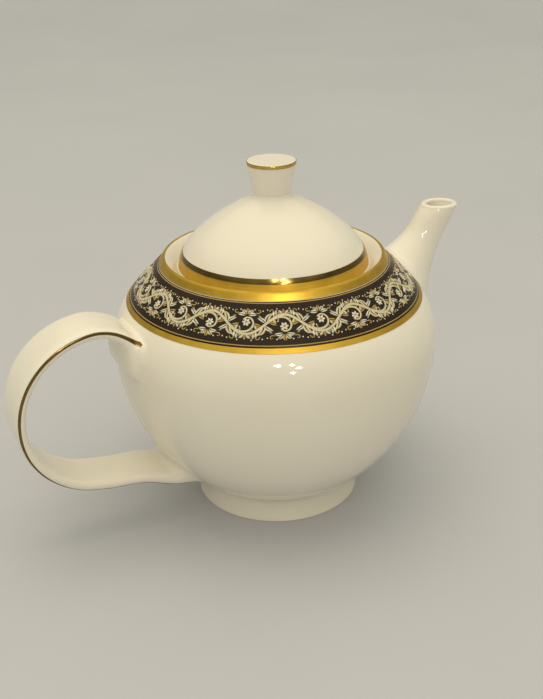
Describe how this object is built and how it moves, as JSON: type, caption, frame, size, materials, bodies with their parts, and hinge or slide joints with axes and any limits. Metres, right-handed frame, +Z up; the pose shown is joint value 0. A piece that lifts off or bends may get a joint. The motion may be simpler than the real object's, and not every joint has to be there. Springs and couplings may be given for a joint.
{
  "type": "teapot",
  "caption": "White porcelain globe teapot with a lift-off domed lid, cone knob, strap handle, tapering spout and a gilt and black border round its shoulder.",
  "frame": {"origin": "centre of the foot ring, on the table", "axes": "+Z up through the knob, +X towards the spout, -X towards the handle"},
  "size_m": [0.2268, 0.15, 0.1623],
  "materials": {
    "porcelain": "clear glaze on white porcelain, glossy",
    "border_print": "near-black print with pale gold scrolls, fired on the glaze, glossy",
    "satin_gold": "satin gold lustre fired on the glaze",
    "burnished_gold": "bright burnished gold line fired on the glaze"
  },
  "bodies": {
    "pot": {"pot_body": "porcelain", "spout": "porcelain", "handle": "porcelain", "shoulder_border": "border_print", "border_gold_ring": "satin_gold", "rim_gold_band": "satin_gold", "handle_gold_line_left": "burnished_gold", "handle_gold_line_right": "burnished_gold"},
    "lid": {"lid": "porcelain", "lid_knob": "porcelain", "lid_gold_band": "satin_gold", "lid_edge_line": "burnished_gold", "knob_gold_line": "burnished_gold"}
  },
  "joints": [
    {"name": "lid_lift", "type": "slide", "parent": "pot", "child": "lid", "axis": [0, 0, 1], "range_m": [0, 0.07]}
  ]
}
